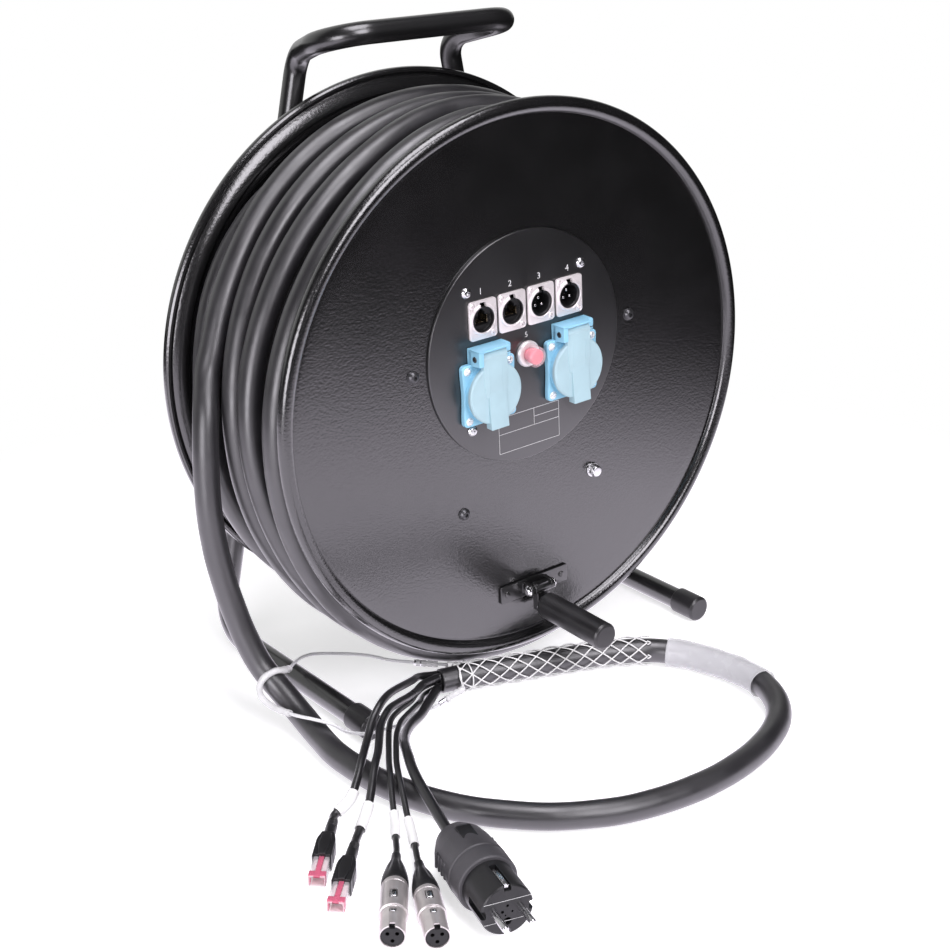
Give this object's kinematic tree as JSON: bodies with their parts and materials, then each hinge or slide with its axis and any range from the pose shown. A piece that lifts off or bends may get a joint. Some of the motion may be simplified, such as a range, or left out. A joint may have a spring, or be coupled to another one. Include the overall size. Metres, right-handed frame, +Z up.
{
  "type": "cable drum with hybrid cable",
  "caption": "Portable steel drum on a tube frame, wound with hybrid cable, with a socket panel in its flange, a folding crank, and a free end that splits into plug-ended tails.",
  "frame": {"origin": "on the ground, under the middle of the drum and frame", "axes": "+X to the right seen from the panel side, -Y out of the panel, +Z up"},
  "size_m": [0.5421, 0.5179, 0.5203],
  "materials": {
    "black_paint": "satin with a fine hammered grain",
    "zinc_steel": "zinc plated",
    "nickel": "satin nickel plate",
    "cable_jacket": "matt",
    "black_plastic": "matt",
    "blue_plastic": "smooth",
    "red_plastic": "glossy, under a clear cap",
    "white_sleeve": "matt",
    "clear_sleeve": "clear shrink sleeve",
    "wire_grip": "woven wire, coated",
    "rubber": "moulded"
  },
  "bodies": {
    "frame": {"frame_tube": "black_paint", "bearing_plate": "black_paint", "axle_shaft": "zinc_steel", "thrust_washer": "zinc_steel", "foot_cap_left": "rubber", "foot_cap_right": "rubber", "free_cable": "cable_jacket", "clear_sleeve": "clear_sleeve", "mesh_grip": "wire_grip", "grip_rope": "wire_grip", "rope_sleeve": "clear_sleeve", "rope_ferrule_upper": "zinc_steel", "rope_ferrule_lower": "zinc_steel", "data_tail_1": "cable_jacket", "data_tail_2": "cable_jacket", "audio_tail_1": "cable_jacket", "audio_tail_2": "cable_jacket", "power_tail": "cable_jacket", "data_marker_1": "white_sleeve", "data_marker_2": "white_sleeve", "audio_marker_1": "white_sleeve", "audio_marker_2": "white_sleeve", "data_plug_1": "black_plastic", "data_plug_2": "black_plastic", "audio_plug_1": "nickel", "audio_plug_2": "nickel", "power_plug": "rubber"},
    "drum": {"front_flange": "black_paint", "back_flange": "black_paint", "hub_tube": "black_paint", "bearing_tube": "zinc_steel", "tie_bolt_1": "zinc_steel", "tie_bolt_2": "zinc_steel", "tie_bolt_3": "zinc_steel", "tie_bolt_4": "zinc_steel", "tie_bolt_5": "zinc_steel", "winding_core": "cable_jacket", "cable_winding": "cable_jacket", "panel_disc": "black_paint", "data_socket_1": "nickel", "data_socket_2": "nickel", "audio_socket_3": "nickel", "audio_socket_4": "nickel", "mains_socket_left": "blue_plastic", "mains_socket_right": "blue_plastic", "breaker_body": "black_plastic", "crank_bracket": "black_paint", "crank_pin": "zinc_steel"},
    "crank": {"crank_arm": "black_paint"},
    "knob": {"crank_knob": "black_plastic"},
    "lid_left": {"socket_lid_left": "blue_plastic"},
    "lid_right": {"socket_lid_right": "blue_plastic"},
    "button": {"breaker_button": "red_plastic"}
  },
  "joints": [
    {"name": "drum_spin", "type": "hinge", "parent": "frame", "child": "drum", "pos_m": [0, 0.027, 0.248], "axis": [0, 1, 0], "continuous": true, "deforming": ["free_cable"]},
    {"name": "crank_fold", "type": "hinge", "parent": "drum", "child": "crank", "pos_m": [0.00842, -0.07, 0.07581], "axis": [-0.9988, 0, -0.0489], "range_deg": [0, 90]},
    {"name": "knob_spin", "type": "hinge", "parent": "crank", "child": "knob", "pos_m": [0.00907, -0.11, 0.06252], "axis": [0, 1, 0], "continuous": true},
    {"name": "lid_left_swing", "type": "hinge", "parent": "drum", "child": "lid_left", "pos_m": [-0.04288, -0.0728, 0.28545], "axis": [-0.9988, 0, -0.0489], "range_deg": [0, 100], "stiffness_Nm_per_rad": 0.02, "springref_deg": -20.05},
    {"name": "lid_right_swing", "type": "hinge", "parent": "drum", "child": "lid_right", "pos_m": [0.03902, -0.0728, 0.28946], "axis": [-0.9988, 0, -0.0489], "range_deg": [0, 100], "stiffness_Nm_per_rad": 0.02, "springref_deg": -20.05},
    {"name": "breaker_press", "type": "slide", "parent": "drum", "child": "button", "axis": [0, 1, 0], "range_m": [0, 0.0028], "stiffness_N_per_m": 400, "springref_m": -0.002}
  ]
}
